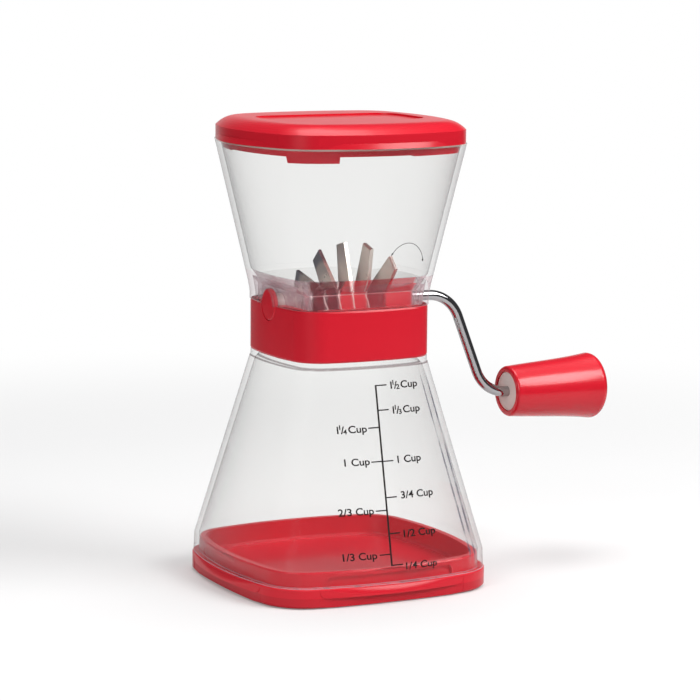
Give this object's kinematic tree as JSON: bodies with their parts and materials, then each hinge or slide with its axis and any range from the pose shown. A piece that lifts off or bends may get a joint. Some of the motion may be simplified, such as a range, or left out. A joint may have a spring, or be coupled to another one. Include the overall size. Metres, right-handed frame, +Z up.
{
  "type": "hand cranked food chopper",
  "caption": "Hand cranked food chopper: clear hopper with lid, red collar with toothed rotor, crank with spinning grip, clear measuring container on a tray base.",
  "frame": {"origin": "centre of the underside of the foot pad, in the plane that the chopper stands on", "axes": "+Z up, +X along the rotor's axis towards the crank, -Y towards the side that carries the measuring scale"},
  "size_m": [0.1639, 0.0998, 0.1765],
  "materials": {
    "red_plastic": "glossy",
    "clear_plastic": "clear, glossy",
    "rod_steel": "polished",
    "tine_steel": "rolled, bright",
    "pad_rubber": "matt",
    "pale_plastic": "satin"
  },
  "bodies": {
    "base": {"base_cap": "red_plastic", "foot_pad": "pad_rubber"},
    "container": {"container": "clear_plastic"},
    "hopper_unit": {"collar": "red_plastic", "rotor_housing": "red_plastic", "coarse_comb": "red_plastic", "fine_comb": "red_plastic", "left_bush": "pale_plastic", "right_bush": "pale_plastic", "hopper": "clear_plastic"},
    "lid": {"hopper_lid": "red_plastic"},
    "rotor": {"crank_rod": "rod_steel", "axle_cap": "red_plastic", "retaining_clip": "tine_steel", "left_washer": "pale_plastic", "right_washer": "pale_plastic", "end_sleeve": "red_plastic", "grip_retainer": "tine_steel", "tine_1": "tine_steel", "tine_2": "tine_steel", "tine_3": "tine_steel", "tine_4": "tine_steel", "tine_5": "tine_steel", "tine_6": "tine_steel", "tine_spacer_1": "red_plastic", "tine_spacer_2": "red_plastic", "tine_spacer_3": "red_plastic", "tine_spacer_4": "red_plastic", "tine_spacer_5": "red_plastic"},
    "grip": {"grip": "red_plastic", "grip_end_disc": "pale_plastic"}
  },
  "joints": [
    {"name": "container_lift", "type": "slide", "parent": "base", "child": "container", "axis": [0, 0, 1], "range_m": [0, 0.06]},
    {"name": "hopper_lift", "type": "slide", "parent": "container", "child": "hopper_unit", "axis": [0, 0, 1], "range_m": [0, 0.06]},
    {"name": "lid_lift", "type": "slide", "parent": "hopper_unit", "child": "lid", "axis": [0, 0, 1], "range_m": [0, 0.06]},
    {"name": "crank_turn", "type": "hinge", "parent": "hopper_unit", "child": "rotor", "pos_m": [0, 0, 0.107], "axis": [1, 0, 0], "continuous": true},
    {"name": "grip_spin", "type": "hinge", "parent": "rotor", "child": "grip", "pos_m": [0.095, 0, 0.067], "axis": [1, 0, 0], "continuous": true}
  ]
}
